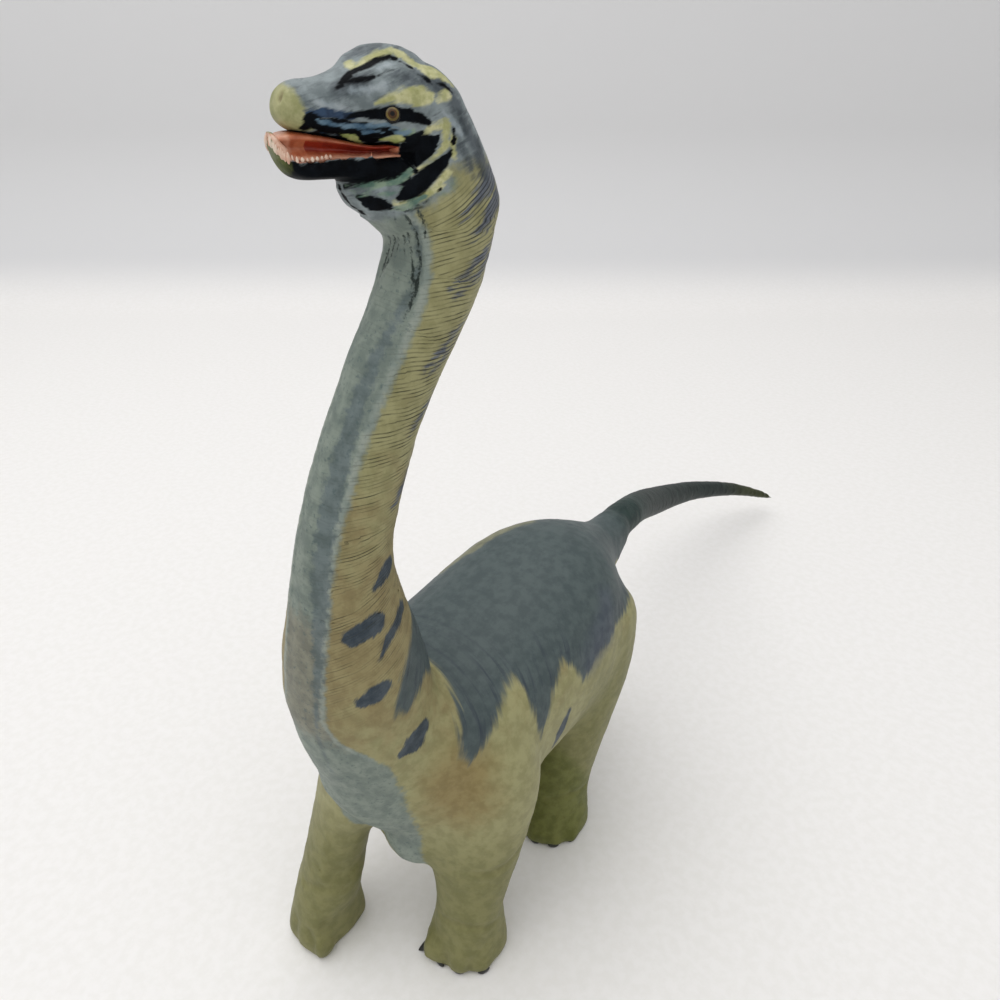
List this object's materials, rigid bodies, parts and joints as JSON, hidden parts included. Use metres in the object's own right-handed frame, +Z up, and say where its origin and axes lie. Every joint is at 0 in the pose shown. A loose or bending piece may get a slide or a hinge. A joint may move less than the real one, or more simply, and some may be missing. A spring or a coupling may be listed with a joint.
{
  "type": "toy dinosaur figure",
  "caption": "Long-necked toy dinosaur in painted vinyl, walking with its head turned and its mouth open, standing on four feet.",
  "frame": {"origin": "middle of the whole figure's box, on the floor under it", "axes": "the animal faces -Y, its tail runs out along +Y, its left side is at +X and +Z is up"},
  "size_m": [0.0748, 0.3986, 0.2739],
  "materials": {
    "hide": "matt paint, slate back over a cream-olive flank",
    "olive": "matt olive paint",
    "neck_paint": "matt khaki paint with a pale blue-grey throat stripe",
    "dark_slate": "matt dark slate paint",
    "head_paint": "blue-grey and cream paint with black stripes"
  },
  "bodies": {
    "root": {"body_shell_left": "hide", "body_shell_right": "hide", "neck": "neck_paint", "tail": "dark_slate", "head": "head_paint", "lower_jaw": "dark_slate", "foreleg_left": "olive", "foreleg_right": "olive", "hindleg_left": "olive", "hindleg_right": "olive"}
  },
  "joints": []
}
